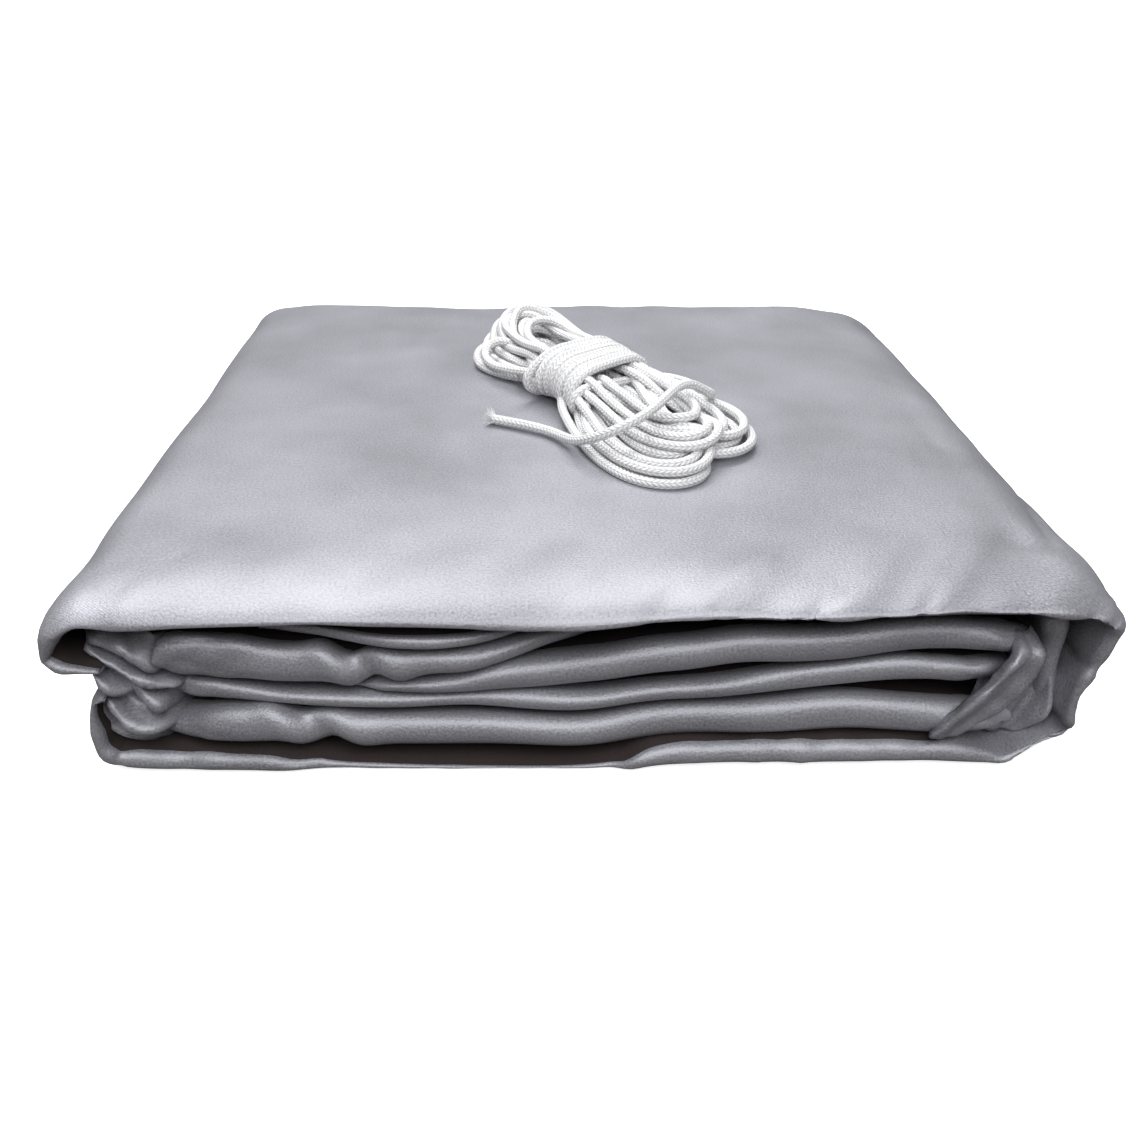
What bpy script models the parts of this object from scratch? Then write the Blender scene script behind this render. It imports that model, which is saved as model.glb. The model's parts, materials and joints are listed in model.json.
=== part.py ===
"""A protective textile cover, folded into a flat pack, with a hank of braided tie cord lying on it.

The pack is a strip of cloth folded over and over and then folded once more like a book. Its spine is on the
right (+X), its leaves show their rolled fold edges at the front (-Y), and it opens on the left (-X).
Origin: centre of the pack's base, +Z up, metres.
"""
import math

import bmesh
import bpy
from mathutils import Matrix, Vector

# ---------------------------------------------------------------- driving dimensions
PACK_WIDTH = 0.431        # left edge of the top panel to the outside of the spine
PACK_DEPTH = 0.410        # front lip to back fold
PACK_HEIGHT = 0.083       # floor to the top panel
CLEARANCE = 0.0003        # between solids that rest on each other
CORD_RADIUS = 0.0025
HANK_CENTRE = Vector((0.0138, 0.0157, PACK_HEIGHT + CLEARANCE))
HANK_TURN = math.radians(-67.5)  # the hank's long axis, turned from +X about +Z
WRAP_START = -0.028       # along the hank, where the turns round its waist begin and end
WRAP_END = 0.014
WRAP_OUTSIDE = (0.0345, 0.0, 0.0278)    # half width, lowest and highest z of the turns, and of the hole in them
WRAP_INSIDE = (0.0288, 0.0050, 0.0228)

ELASTIC_RADIUS = 0.0011
ELASTIC_BENDS = 7
ELASTIC_PITCH = 0.010     # between one bend and the next
ELASTIC_REACH = 0.050     # half the width of the serpentine
EYELET_RIM = 0.010        # an eyelet's outer radius, the radius of its hole, and its thickness
EYELET_HOLE = 0.0055
EYELET_THICK = 0.0016

SECTION_POINTS = 12       # round a leaf's cross-section
LEAF_CUTS = 13            # along a leaf
EDGE_RADIUS = 0.006       # of a leaf's rolled front and back, measured along Y

# A leaf's stations, left to right: x, underside z, upper side z
BOTTOM_PANEL = [
    (-0.205, 0.0, 0.0105), (-0.165, 0.0, 0.0095), (-0.100, 0.0, 0.0070), (0.000, 0.0, 0.0060),
    (0.050, 0.0, 0.0100), (0.120, 0.0, 0.0110), (0.170, 0.0, 0.0100), (0.200, 0.0, 0.0060),
]
LOWER_FOLD_DEEP = [
    (-0.178, 0.0140, 0.0200), (-0.160, 0.0115, 0.0285), (-0.130, 0.0105, 0.0280), (-0.100, 0.0085, 0.0235),
    (-0.050, 0.0075, 0.0215), (0.000, 0.0075, 0.0215), (0.050, 0.0115, 0.0270), (0.100, 0.0125, 0.0300),
    (0.150, 0.0115, 0.0290), (0.184, 0.0130, 0.0230),
]
LOWER_FOLD_SHALLOW = [
    (-0.178, 0.0330, 0.0420), (-0.155, 0.0305, 0.0395), (-0.120, 0.0295, 0.0350), (-0.080, 0.0260, 0.0325),
    (0.000, 0.0255, 0.0330), (0.050, 0.0300, 0.0385), (0.100, 0.0345, 0.0450), (0.140, 0.0365, 0.0490),
    (0.182, 0.0370, 0.0430),
]
UPPER_FOLD_RIGHT = [
    (-0.100, 0.0350, 0.0370), (-0.070, 0.0340, 0.0410), (-0.020, 0.0355, 0.0490), (0.030, 0.0410, 0.0565),
    (0.080, 0.0470, 0.0625), (0.140, 0.0520, 0.0665), (0.170, 0.0510, 0.0640), (0.188, 0.0490, 0.0570),
]
UPPER_FOLD_LEFT = [
    (-0.176, 0.0465, 0.0620), (-0.160, 0.0425, 0.0640), (-0.120, 0.0395, 0.0570), (-0.090, 0.0390, 0.0545),
    (-0.060, 0.0445, 0.0555), (-0.010, 0.0525, 0.0605), (0.020, 0.0575, 0.0635), (0.045, 0.0620, 0.0645),
]
UNDER_LAYER = [
    (-0.135, 0.0600, 0.0655), (-0.090, 0.0600, 0.0650), (-0.040, 0.0600, 0.0640), (0.000, 0.0630, 0.0645),
    (0.050, 0.0655, 0.0675),
]
TOP_PANEL = [
    (-0.2155, 0.0730, 0.0790), (-0.190, 0.0715, 0.0830), (-0.140, 0.0730, 0.0830), (-0.050, 0.0685, 0.0830),
    (0.000, 0.0680, 0.0830), (0.060, 0.0720, 0.0830), (0.140, 0.0760, 0.0830), (0.190, 0.0770, 0.0830),
    (0.2150, 0.0770, 0.0790),
]
# The hank's stations, from its back end to its front end: along, underside z, upper side z, left side, right
# side. Heights are above the top panel.
HANK_STATIONS = [
    (-0.1245, 0.0040, 0.0100, -0.012, 0.008), (-0.108, 0.0, 0.0190, -0.030, 0.022),
    (-0.080, 0.0, 0.0220, -0.036, 0.028), (-0.050, 0.0020, 0.0225, -0.034, 0.030),
    (-0.034, 0.0056, 0.0220, -0.028, 0.028), (0.020, 0.0056, 0.0215, -0.028, 0.028),
    (0.035, 0.0030, 0.0205, -0.030, 0.036), (0.060, 0.0, 0.0190, -0.033, 0.046),
    (0.090, 0.0, 0.0170, -0.036, 0.045), (0.112, 0.0, 0.0150, -0.034, 0.030),
    (0.1245, 0.0020, 0.0080, -0.018, 0.008),
]
# The cord's free end: along the hank, across it, height of the cord's middle above the top panel
TAIL_ROUTE = [
    (0.004, 0.0364, 0.0120), (0.010, 0.0440, 0.0125), (0.022, 0.0510, 0.0130), (0.036, 0.0545, 0.0145),
    (0.048, 0.0545, 0.0180), (0.0565, 0.0500, 0.0225), (0.061, 0.0420, 0.0262), (0.063, 0.0320, 0.0275),
    (0.066, 0.0200, 0.0262), (0.071, 0.0080, 0.0245), (0.077, -0.0040, 0.0234), (0.082, -0.0160, 0.0226),
    (0.083, -0.0270, 0.0210), (0.078, -0.0365, 0.0165), (0.069, -0.0425, 0.0100), (0.058, -0.0450, 0.0050),
    (0.046, -0.0470, 0.0028), (0.034, -0.0520, 0.0026), (0.022, -0.0600, 0.0026), (0.011, -0.0690, 0.0026),
]
TAIL_POINTS = 60


# ---------------------------------------------------------------- shared helpers
def clear_scene():
    for obj in list(bpy.data.objects):
        bpy.data.objects.remove(obj, do_unlink=True)


def new_collection(name):
    made = bpy.data.collections.new(name)
    bpy.context.scene.collection.children.link(made)
    return made


def material(name, colour, roughness, metallic=0.0):
    made = bpy.data.materials.new(name)
    made.use_nodes = True
    shader = made.node_tree.nodes["Principled BSDF"]
    shader.inputs["Base Color"].default_value = (*colour, 1.0)
    shader.inputs["Roughness"].default_value = roughness
    shader.inputs["Metallic"].default_value = metallic
    return made


def between(stations, x):
    """The stations' values at x, on a smooth curve through them."""
    last = len(stations) - 1
    i = next((k for k in range(last) if x <= stations[k + 1][0]), last - 1)
    x0, x1 = stations[i][0], stations[i + 1][0]
    t = min(max((x - x0) / (x1 - x0), 0.0), 1.0)
    ease = t * t * (3 - 2 * t)
    return [a + (b - a) * ease for a, b in zip(stations[i][1:], stations[i + 1][1:])]


def catmull_rom(points, count):
    """count points spread along a smooth curve through the given ones."""
    ends = [points[0] * 2 - points[1], *points, points[-1] * 2 - points[-2]]
    made = []
    for k in range(count):
        at = k / (count - 1) * (len(points) - 1)
        i = min(int(at), len(points) - 2)
        t = at - i
        a, b, c, d = ends[i:i + 4]
        made.append(0.5 * (2 * b + (c - a) * t + (2 * a - 5 * b + 4 * c - d) * t * t
                           + (3 * b - a - 3 * c + d) * t ** 3))
    return made


def finish(obj, collection, surface):
    """Puts the object in its collection, with its material and smooth shading."""
    for old in list(obj.users_collection):
        old.objects.unlink(obj)
    collection.objects.link(obj)
    obj.data.materials.clear()
    obj.data.materials.append(surface)
    if obj.type == "MESH":
        obj.data.shade_smooth()
        obj.data.set_sharp_from_angle(angle=math.radians(40))
    return obj


def lofted_slab(name, start, end, place, cuts=LEAF_CUTS):
    """A cylinder along X whose every ring takes the rounded oblong that place(x) gives:
    underside z, upper z, front y, back y and the rounding's length along Y."""
    bm = bmesh.new()
    lying = Matrix.Rotation(math.radians(90), 4, "Y")
    half_step = Matrix.Rotation(math.pi / SECTION_POINTS, 4, "X")
    bmesh.ops.create_cone(bm, cap_ends=True, segments=SECTION_POINTS, radius1=1, radius2=1, depth=2,
                          matrix=half_step @ lying)
    long_edges = [e for e in bm.edges if abs(e.verts[0].co.x - e.verts[1].co.x) > 1]
    bmesh.ops.subdivide_edges(bm, edges=long_edges, cuts=cuts)
    tallest = max(abs(v.co.z) for v in bm.verts)
    for v in bm.verts:
        x = start + (end - start) * (v.co.x + 1) / 2
        low, high, front, back, edge = place(x)
        share = (v.co.z / tallest + 1) / 2
        y = front + edge * (1 + v.co.y) if v.co.y < 0 else back - edge * (1 - v.co.y)
        v.co = (x, y, low + (high - low) * share)
    bmesh.ops.recalc_face_normals(bm, faces=bm.faces)
    mesh = bpy.data.meshes.new(name)
    bm.to_mesh(mesh)
    bm.free()
    return bpy.data.objects.new(name, mesh)


# ---------------------------------------------------------------- the folded cloth
def leaf(name, stations, front, back, collection, surface, edge=EDGE_RADIUS, cuts=LEAF_CUTS):
    """One folded thickness of the cloth, with its rolled edge at the front."""
    def place(x):
        low, high = between(stations, x)
        return low, high, front, back, edge

    made = lofted_slab(name, stations[0][0], stations[-1][0], place, cuts)
    return finish(made, collection, surface)


def side_wrap(name, low, high, collection, surface, rounding=0.005):
    """The cloth that closes a side of the pack, as a rounded upright board."""
    centre = (Vector(low) + Vector(high)) / 2
    bpy.ops.mesh.primitive_cube_add(size=1, location=centre)
    made = bpy.context.object
    made.name = name
    made.scale = Vector(high) - Vector(low)
    bpy.ops.object.transform_apply(location=False, rotation=False, scale=True)
    bevel = made.modifiers.new("rounded edges", "BEVEL")
    bevel.width = rounding
    bevel.segments = 3
    return finish(made, collection, surface)


# ---------------------------------------------------------------- what the folds hold
def hem_elastic(collection, surface):
    """The elastic of the hem, gathered in a serpentine between the two lower folds."""
    points = []
    for k in range(ELASTIC_BENDS * 8 + 1):
        turn = k / 8
        along = ELASTIC_PITCH * (turn - ELASTIC_BENDS / 2)
        points.append((along, ELASTIC_REACH * math.sin(math.pi * turn), 0))
    curve = bpy.data.curves.new("hem_elastic", "CURVE")
    curve.dimensions = "3D"
    curve.bevel_depth = ELASTIC_RADIUS
    curve.bevel_resolution = 1
    curve.use_fill_caps = True
    spline = curve.splines.new("POLY")
    spline.points.add(len(points) - 1)
    for place, point in zip(spline.points, points):
        place.co = (*point, 1)
    made = bpy.data.objects.new("hem_elastic", curve)
    made.location = (-0.030, 0.03, 0.0238)
    return finish(made, collection, surface)


def tie_eyelet(name, location, collection, surface):
    """A brass eyelet of the hem, which the tie cord runs through."""
    profile = [(EYELET_RIM, EYELET_THICK), (EYELET_RIM, 0), (EYELET_HOLE, 0), (EYELET_HOLE, EYELET_THICK)]
    mesh = bpy.data.meshes.new(name)
    edges = [(k, (k + 1) % len(profile)) for k in range(len(profile))]
    mesh.from_pydata([(radius, 0, height) for radius, height in profile], edges, [])
    made = bpy.data.objects.new(name, mesh)
    made.location = location
    turned = made.modifiers.new("turned", "SCREW")
    turned.steps = 24
    turned.render_steps = 24
    turned.use_merge_vertices = True
    turned.merge_threshold = 0.00001
    return finish(made, collection, surface)


# ---------------------------------------------------------------- the tie cord
def hank_matrix():
    return Matrix.Translation(HANK_CENTRE) @ Matrix.Rotation(HANK_TURN, 4, "Z")


def hank_bundle(collection, surface):
    """The outer shape of the hank's long turns: two lobes and a waist."""
    def place(x):
        low, high, left, right = between(HANK_STATIONS, x)
        return low, high, left, right, 0.3 * (right - left)

    made = lofted_slab("cord_hank", HANK_STATIONS[0][0], HANK_STATIONS[-1][0], place, cuts=24)
    made.data.transform(hank_matrix())
    return finish(made, collection, surface)


def waist_wraps(collection, surface):
    """The turns of cord wound round the hank's waist, as one sleeve."""
    def oblong(shape):
        half_width, low, high = shape
        return lambda x: (low, high, -half_width, half_width, 0.5 * half_width)

    sleeve = lofted_slab("cord_wraps", WRAP_START, WRAP_END, oblong(WRAP_OUTSIDE), cuts=1)
    hole = lofted_slab("wraps_hole", WRAP_START - 0.01, WRAP_END + 0.01, oblong(WRAP_INSIDE), cuts=1)
    cutters.objects.link(hole)
    hole.hide_render = True
    hole.display_type = "WIRE"
    for obj in (sleeve, hole):
        obj.data.transform(hank_matrix())
    cut = sleeve.modifiers.new("hole for the hank", "BOOLEAN")
    cut.operation = "DIFFERENCE"
    cut.object = hole
    return finish(sleeve, collection, surface)


def cord_tail(collection, surface):
    """The end of the cord: out of the waist, round a small loop, over the hank and down to its cut end."""
    route = [Vector(p) for p in TAIL_ROUTE]
    curve = bpy.data.curves.new("cord_tail", "CURVE")
    curve.dimensions = "3D"
    curve.bevel_depth = CORD_RADIUS
    curve.bevel_resolution = 2
    curve.use_fill_caps = True
    spline = curve.splines.new("POLY")
    spline.points.add(TAIL_POINTS - 1)
    for place, point in zip(spline.points, catmull_rom(route, TAIL_POINTS)):
        place.co = (*point, 1)
    made = bpy.data.objects.new("cord_tail", curve)
    made.matrix_world = hank_matrix()
    return finish(made, collection, surface)


# ---------------------------------------------------------------- the assembly
clear_scene()
parts = new_collection("folded_cover")
cutters = new_collection("cutters")
cloth = material("silver grey coated polyester", (0.36, 0.36, 0.39), 0.45)
white_cord = material("white braided cord", (0.80, 0.80, 0.80), 0.70)
rubber = material("elastic", (0.06, 0.06, 0.06), 0.80)
brass = material("eyelet brass", (0.78, 0.57, 0.25), 0.30, 1.0)

BACK = PACK_DEPTH / 2

# The lower half of the pack stays on the floor.
leaf("bottom_panel", BOTTOM_PANEL, -BACK, BACK - 0.002, parts, cloth)
leaf("lower_fold_deep", LOWER_FOLD_DEEP, -0.199, 0.199, parts, cloth)
leaf("lower_fold_shallow", LOWER_FOLD_SHALLOW, -0.195, 0.197, parts, cloth)
side_wrap("lower_spine", (0.1895, -0.196, 0.0115), (0.2080, 0.196, 0.0440), parts, cloth)
side_wrap("lower_left_edge", (-0.2060, -0.196, 0.0115), (-0.1800, 0.196, 0.0430), parts, cloth)
hem_elastic(parts, rubber)
for side, x in (("left", -0.062), ("right", -0.028)):
    tie_eyelet(f"tie_eyelet_{side}", (x, 0.125, 0.02295), parts, brass)

# The upper half turns about the spine.
leaf("upper_fold_right", UPPER_FOLD_RIGHT, -0.196, 0.197, parts, cloth)
leaf("upper_fold_left", UPPER_FOLD_LEFT, -0.198, 0.197, parts, cloth)
leaf("under_layer", UNDER_LAYER, -0.200, 0.190, parts, cloth, edge=0.002)
leaf("top_panel", TOP_PANEL, -BACK, BACK, parts, cloth, edge=0.010, cuts=17)
side_wrap("upper_spine", (0.1920, -0.198, 0.0460), (0.2145, 0.198, 0.0755), parts, cloth)
side_wrap("upper_left_edge", (-0.2155, -0.198, 0.0480), (-0.1800, 0.198, 0.0705), parts, cloth)

# The hank of cord lies loose on the top panel.
hank_bundle(parts, white_cord)
waist_wraps(parts, white_cord)
cord_tail(parts, white_cord)
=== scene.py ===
"""A folded protective cover of silver-grey coated polyester, with a loose hank of braided tie cord on it.

The cloth is made of long flattened folds: one outer wrap round the top, the closed spine and the underside,
and the leaves between, whose rolled edges show at the front. The cord is one length, laid out by a small
rope simulation. Everything is in metres, +Z up, with the front at -Y.
"""

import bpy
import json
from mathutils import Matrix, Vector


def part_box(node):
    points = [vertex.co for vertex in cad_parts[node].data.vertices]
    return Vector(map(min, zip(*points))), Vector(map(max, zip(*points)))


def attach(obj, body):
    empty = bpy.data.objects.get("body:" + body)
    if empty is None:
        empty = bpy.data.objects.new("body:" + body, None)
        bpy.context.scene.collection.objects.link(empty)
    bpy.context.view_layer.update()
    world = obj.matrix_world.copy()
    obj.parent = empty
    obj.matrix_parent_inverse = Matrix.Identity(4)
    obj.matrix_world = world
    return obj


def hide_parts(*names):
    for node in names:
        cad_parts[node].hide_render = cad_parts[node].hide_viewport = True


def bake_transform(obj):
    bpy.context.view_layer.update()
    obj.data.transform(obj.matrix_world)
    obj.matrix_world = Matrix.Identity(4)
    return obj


bl_info = {
    "name": "Folded Cover with Tie Cord",
    "version": (1, 0, 0),
    "blender": (4, 5, 0),
    "location": "View3D > Sidebar > Cover",
    "description": "Makes a folded fabric cover with a hank of braided tie cord",
    "category": "Object",
}

import json
import math

import bmesh
import bpy
import numpy as np
from bpy.props import FloatProperty, FloatVectorProperty, IntProperty, PointerProperty
from bpy.types import Operator, Panel, PropertyGroup
from mathutils import Matrix, Vector
from mathutils.kdtree import KDTree

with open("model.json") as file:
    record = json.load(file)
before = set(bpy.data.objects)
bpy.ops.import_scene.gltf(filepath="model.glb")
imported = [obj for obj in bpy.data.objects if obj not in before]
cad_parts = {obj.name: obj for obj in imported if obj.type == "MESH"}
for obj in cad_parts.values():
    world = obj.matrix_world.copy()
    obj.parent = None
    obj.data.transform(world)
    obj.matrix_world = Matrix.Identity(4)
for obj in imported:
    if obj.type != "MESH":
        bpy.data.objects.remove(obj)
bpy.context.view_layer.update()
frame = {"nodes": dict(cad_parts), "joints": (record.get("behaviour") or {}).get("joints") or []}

TOP_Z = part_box("top_panel")[1].z
LEFT_X, RIGHT_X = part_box("top_panel")[0].x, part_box("top_panel")[1].x
FRONT_Y, BACK_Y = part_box("top_panel")[0].y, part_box("top_panel")[1].y
HINGE = Vector(frame["joints"][0]["pos_m"])

# ---------------------------------------------------------------- settings


class ClothSettings(PropertyGroup):
    colour: FloatVectorProperty(name="Colour", description="The coated cloth's own colour", subtype="COLOR",
                                default=(0.33, 0.33, 0.365), min=0, max=1)
    # Painted shade: a near-black colour given to the inner faces of the folds, so the gaps between the folds
    # read as shade
    reverse: FloatVectorProperty(name="Reverse", description="Colour of the cloth's uncoated side",
                                 subtype="COLOR", default=(0.032, 0.022, 0.021), min=0, max=1)
    roughness: FloatProperty(name="Roughness", description="How satin the coating is", default=0.47,
                             min=0, max=1, subtype="FACTOR")
    thickness: FloatProperty(name="Cloth thickness", description="Thickness of one layer", default=0.0004,
                             min=0.0001, max=0.002, unit="LENGTH")
    step: FloatProperty(name="Mesh step", description="Spacing of the cloth's mesh along a fold",
                        default=0.0030, min=0.001, max=0.01, unit="LENGTH")


class CordSettings(PropertyGroup):
    colour: FloatVectorProperty(name="Colour", description="The cord's own colour", subtype="COLOR",
                                default=(0.96, 0.96, 0.97), min=0, max=1)
    diameter: FloatProperty(name="Diameter", description="The cord's thickness", default=0.005,
                            min=0.002, max=0.012, unit="LENGTH")
    turns: IntProperty(name="Waist turns", description="Turns wound round the hank's waist", default=8,
                       min=3, max=9)
    sides: IntProperty(name="Sides", description="Flats round the cord's section", default=12, min=6, max=16)
    ring_step: FloatProperty(name="Ring step", description="Spacing of the rings along the cord",
                             default=0.0013, min=0.0008, max=0.005, unit="LENGTH")


class StageSettings(PropertyGroup):
    floor_colour: FloatVectorProperty(name="Floor", description="Colour of the floor", subtype="COLOR",
                                      default=(0.86, 0.86, 0.86), min=0, max=1)
    key_power: FloatProperty(name="Back light", description="Power of the large soft light behind",
                             default=18.0, min=0, max=500, unit="POWER")
    fill_power: FloatProperty(name="Front light", description="Power of the large soft light in front",
                              default=15.5, min=0, max=500, unit="POWER")
    overhead: FloatProperty(name="Overhead light", description="Strength of the soft light overhead",
                            default=0.62, min=0, max=50)
    ambient: FloatProperty(name="Ambient light", description="Strength of the light from all round",
                           default=0.14, min=0, max=5)


# ---------------------------------------------------------------- curves, waves and grids


def distances(line):
    """Each point's distance from the start of the line, measured along it."""
    return np.concatenate([[0], np.cumsum(np.linalg.norm(np.diff(line, axis=0), axis=1))])


def length_of(line):
    return np.linalg.norm(np.diff(line, axis=0), axis=1).sum()


def through(points, step, dims):
    """A smooth curve through the points, resampled every step. Its length counts only the first dims
    values."""
    points = np.array(points, float)
    ends = np.vstack([2 * points[0] - points[1], points, 2 * points[-1] - points[-2]])
    made = []
    for i in range(len(points) - 1):
        a, b, c, d = ends[i:i + 4]
        knots = [0.0]
        for p, q in ((a, b), (b, c), (c, d)):
            knots.append(knots[-1] + max(np.linalg.norm((q - p)[:dims]), 1e-6) ** 0.5)
        t0, t1, t2, t3 = knots
        t = np.linspace(t1, t2, 17)[:-1, None]
        ab = (t1 - t) / (t1 - t0) * a + (t - t0) / (t1 - t0) * b
        bc = (t2 - t) / (t2 - t1) * b + (t - t1) / (t2 - t1) * c
        cd = (t3 - t) / (t3 - t2) * c + (t - t2) / (t3 - t2) * d
        abc = (t2 - t) / (t2 - t0) * ab + (t - t0) / (t2 - t0) * bc
        bcd = (t3 - t) / (t3 - t1) * bc + (t - t1) / (t3 - t1) * cd
        made.append((t2 - t) / (t2 - t1) * abc + (t - t1) / (t2 - t1) * bcd)
    line = np.vstack(made + [points[-1:]])
    return respaced(line, step, dims)


def respaced(line, step, dims=3):
    """The line again with its points step apart."""
    along = distances(line[:, :dims])
    at = np.linspace(0, along[-1], max(2, round(along[-1] / step) + 1))
    return np.stack([np.interp(at, along, column) for column in line.T], axis=1)


def waves(points, wavelength, seed, stretch=(1, 1, 1), count=16):
    """Smooth random height over the points, about -1 to 1. stretch draws the waves out along an axis."""
    rng = np.random.default_rng(seed)
    way = rng.normal(size=(count, points.shape[1]))
    way /= np.linalg.norm(way, axis=1)[:, None]
    way = way / (wavelength * rng.uniform(0.7, 1.4, count))[:, None] / np.array(stretch)[:points.shape[1]]
    phase = rng.uniform(0, math.tau, count)
    return np.cos(math.tau * points @ way.T + phase).sum(1) * math.sqrt(1 / count)


def creases(points, wavelength, seed, stretch=(1, 1, 1), sharp=2.0):
    """Narrow ridges, 0 to 1, along the lines where a random height passes through nought."""
    return np.exp(-sharp * np.abs(waves(points, wavelength, seed, stretch)))


def bump(x, centre, width):
    """1 at centre, falling to 0 at about twice the width away."""
    return np.exp(-((x - centre) / width) ** 2)


def step_between(x, low, high):
    """0 below low, 1 above high, with a smooth rise between."""
    t = np.clip((x - low) / (high - low), 0, 1)
    return t * t * (3 - 2 * t)


def grid_normals(grid, closed):
    """Unit normals of a grid of points, whose second direction may be a closed ring."""
    along = np.gradient(grid, axis=0)
    around = (np.roll(grid, -1, axis=1) - np.roll(grid, 1, axis=1)) if closed else np.gradient(grid, axis=1)
    normal = np.cross(along, around)
    return normal / np.maximum(np.linalg.norm(normal, axis=2, keepdims=True), 1e-12)


def outward_normals(grid):
    """Unit normals that point out of a closed fold, and whether its faces have to be turned to match."""
    normal = grid_normals(grid, True)
    centre = grid.mean(axis=1, keepdims=True)
    outward = np.sign(((grid - centre) * normal).sum(axis=2).mean())
    return outward * normal, outward < 0


def raised_by(grid, normal, lift):
    """The grid with each point moved along its normal."""
    return grid + normal * lift.reshape(grid.shape[:2])[..., None]


def all_round(values, grid):
    """One value for each station, given to every point round the fold."""
    return np.repeat(values[:, None], grid.shape[1], axis=1)


def inward_of(path):
    """The direction into the fold at each station of its path."""
    tangent = np.gradient(path[:, :2], axis=0)
    tangent /= np.linalg.norm(tangent, axis=1)[:, None]
    return np.stack([tangent[:, 1], -tangent[:, 0]], axis=1)


def lengths(grid, axis):
    """Each point's distance along the grid's rows or columns, measured on the cloth."""
    gaps = np.linalg.norm(np.diff(grid, axis=axis), axis=2)
    start = np.zeros_like(np.take(gaps, [0], axis=axis))
    return np.concatenate([start, np.cumsum(gaps, axis=axis)], axis=axis)


def new_object(name, data):
    """An object in the scene that holds the data."""
    made = bpy.data.objects.new(name, data)
    bpy.context.scene.collection.objects.link(made)
    return made


def grid_mesh(name, grid, closed, uv_along, uv_around, flip=False, reverse=None):
    """A mesh object from a grid of points, with a UV map in metres of cloth. Faces between points marked in
    the given mask get the second material, the near-black cloth that paints shade into the gaps between the
    folds."""
    rows, ring = grid.shape[:2]
    index = np.arange(rows * ring).reshape(rows, ring)
    right = np.roll(index, -1, axis=1) if closed else index[:, 1:]
    left = index if closed else index[:, :-1]
    quads = np.stack([left[:-1], left[1:], right[1:], right[:-1]], axis=-1).reshape(-1, 4)
    around_right = np.roll(uv_around, -1, axis=1) if closed else uv_around[:, 1:]
    around_left = uv_around if closed else uv_around[:, :-1]
    along_right = np.roll(uv_along, -1, axis=1) if closed else uv_along[:, 1:]
    along_left = uv_along if closed else uv_along[:, :-1]
    if closed:
        seam = np.linalg.norm(grid[:, 0] - grid[:, -1], axis=1) + uv_around[:, -1]
        around_right = around_right.copy()
        around_right[:, -1] = seam
    u = np.stack([along_left[:-1], along_left[1:], along_right[1:], along_right[:-1]], axis=-1)
    v = np.stack([around_left[:-1], around_left[1:], around_right[1:], around_right[:-1]], axis=-1)
    uv = np.stack([u, v], axis=-1).reshape(-1, 4, 2)
    if flip:
        quads = quads[:, ::-1]
        uv = uv[:, ::-1]
    mesh = bpy.data.meshes.new(name)
    mesh.from_pydata(grid.reshape(-1, 3).tolist(), [], quads.tolist())
    mesh.uv_layers.new(name="UVMap").data.foreach_set("uv", uv.reshape(-1).astype(np.float32))
    # the marked faces take the second material: painted shade in the gaps between the folds
    if reverse is not None:
        mesh.materials.append(None)
        mesh.materials.append(None)
        mesh.polygons.foreach_set("material_index", reverse.reshape(-1)[quads].all(axis=1).astype(np.int32))
    mesh.shade_smooth()
    return new_object(name, mesh)


# ---------------------------------------------------------------- shader node groups


def new_tree(name, kind, inputs, outputs):
    """A node tree with its sockets, each given as its name, its kind and, if it has one, its value."""
    tree = bpy.data.node_groups.new(name, kind)
    for way, sockets in (("INPUT", inputs), ("OUTPUT", outputs)):
        for label, sort, *value in sockets:
            made = tree.interface.new_socket(name=label, in_out=way, socket_type="NodeSocket" + sort)
            if value:
                made.default_value = value[0]
    nodes = tree.nodes
    return tree, nodes, tree.links, nodes.new("NodeGroupInput"), nodes.new("NodeGroupOutput")


def add_node(nodes, kind, **values):
    """A new node with the inputs named in values set. An underscore in a name stands for a space."""
    node = nodes.new(kind)
    for name, value in values.items():
        node.inputs[name.replace("_", " ")].default_value = value
    return node


def math_node(nodes, links, operation, a, b=None):
    node = nodes.new("ShaderNodeMath")
    node.operation = operation
    for slot, value in ((0, a), (1, b)):
        if value is None:
            continue
        if isinstance(value, (int, float)):
            node.inputs[slot].default_value = value
        else:
            links.new(value, node.inputs[slot])
    return node.outputs[0]


def plain_weave_group():
    """Crossing threads of a plain weave, and the cloudy unevenness of a coated cloth."""
    group, nodes, links, given, out = new_tree(
        "plain_weave", "ShaderNodeTree",
        [("Vector", "Vector"), ("Threads per metre", "Float", 1600.0), ("Speckle per metre", "Float", 900.0)],
        [("Height", "Float"), ("Speckle", "Float"), ("Cloud", "Float")])
    split = nodes.new("ShaderNodeSeparateXYZ")
    links.new(given.outputs["Vector"], split.inputs[0])
    turns = math_node(nodes, links, "MULTIPLY", given.outputs["Threads per metre"], math.pi)
    warp = math_node(nodes, links, "SINE", math_node(nodes, links, "MULTIPLY", split.outputs["X"], turns))
    weft = math_node(nodes, links, "SINE", math_node(nodes, links, "MULTIPLY", split.outputs["Y"], turns))
    crossing = math_node(nodes, links, "MULTIPLY", warp, weft)
    fine = add_node(nodes, "ShaderNodeTexNoise", Detail=2.0)
    links.new(given.outputs["Vector"], fine.inputs["Vector"])
    links.new(given.outputs["Speckle per metre"], fine.inputs["Scale"])
    broad = add_node(nodes, "ShaderNodeTexNoise", Scale=14.0, Detail=3.0)
    links.new(given.outputs["Vector"], broad.inputs["Vector"])
    thread = math_node(nodes, links, "MULTIPLY", crossing, 0.08)
    links.new(math_node(nodes, links, "ADD", thread, fine.outputs["Fac"]), out.inputs["Height"])
    links.new(fine.outputs["Fac"], out.inputs["Speckle"])
    links.new(broad.outputs["Fac"], out.inputs["Cloud"])
    return group


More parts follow.
